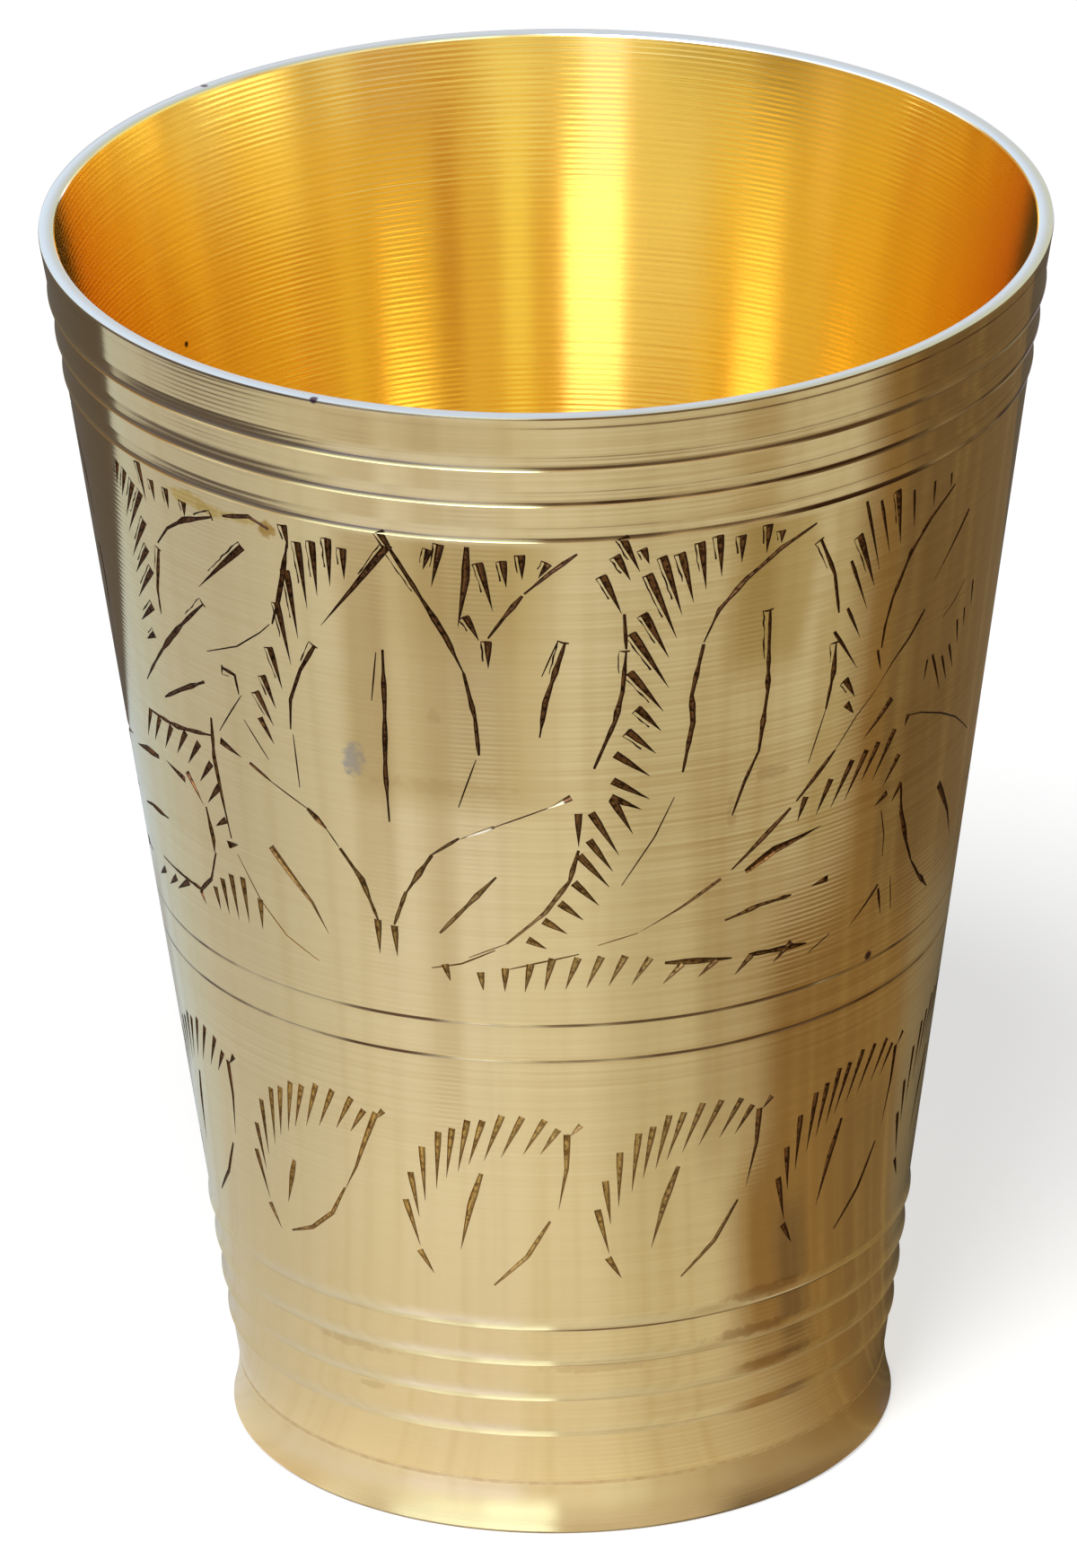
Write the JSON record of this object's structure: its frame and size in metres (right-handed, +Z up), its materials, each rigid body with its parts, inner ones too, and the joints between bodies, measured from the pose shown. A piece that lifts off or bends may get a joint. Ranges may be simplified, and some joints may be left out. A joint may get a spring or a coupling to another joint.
{
  "type": "lassi tumbler",
  "caption": "Tapered brass drinking tumbler with turned rings below the lip and above a flared foot, engraved with leaf bands, for cold yoghurt drinks.",
  "frame": {"origin": "centre of the foot's resting face, on the axis of the tumbler", "axes": "+Z up the axis towards the lip, -Y towards the side that the picture shows"},
  "size_m": [0.1, 0.1, 0.128],
  "materials": {
    "wall_brass": "satin turned brass with fine lathe lines, engraved, flat bright lip",
    "foot_brass": "satin turned brass",
    "floor_brass": "satin turned brass, facing lines in rings",
    "solder": "dull grey soft solder"
  },
  "bodies": {
    "root": {"wall": "wall_brass", "foot_ring": "foot_brass", "floor_disc": "floor_brass", "floor_solder": "solder", "foot_solder": "solder"}
  },
  "joints": []
}
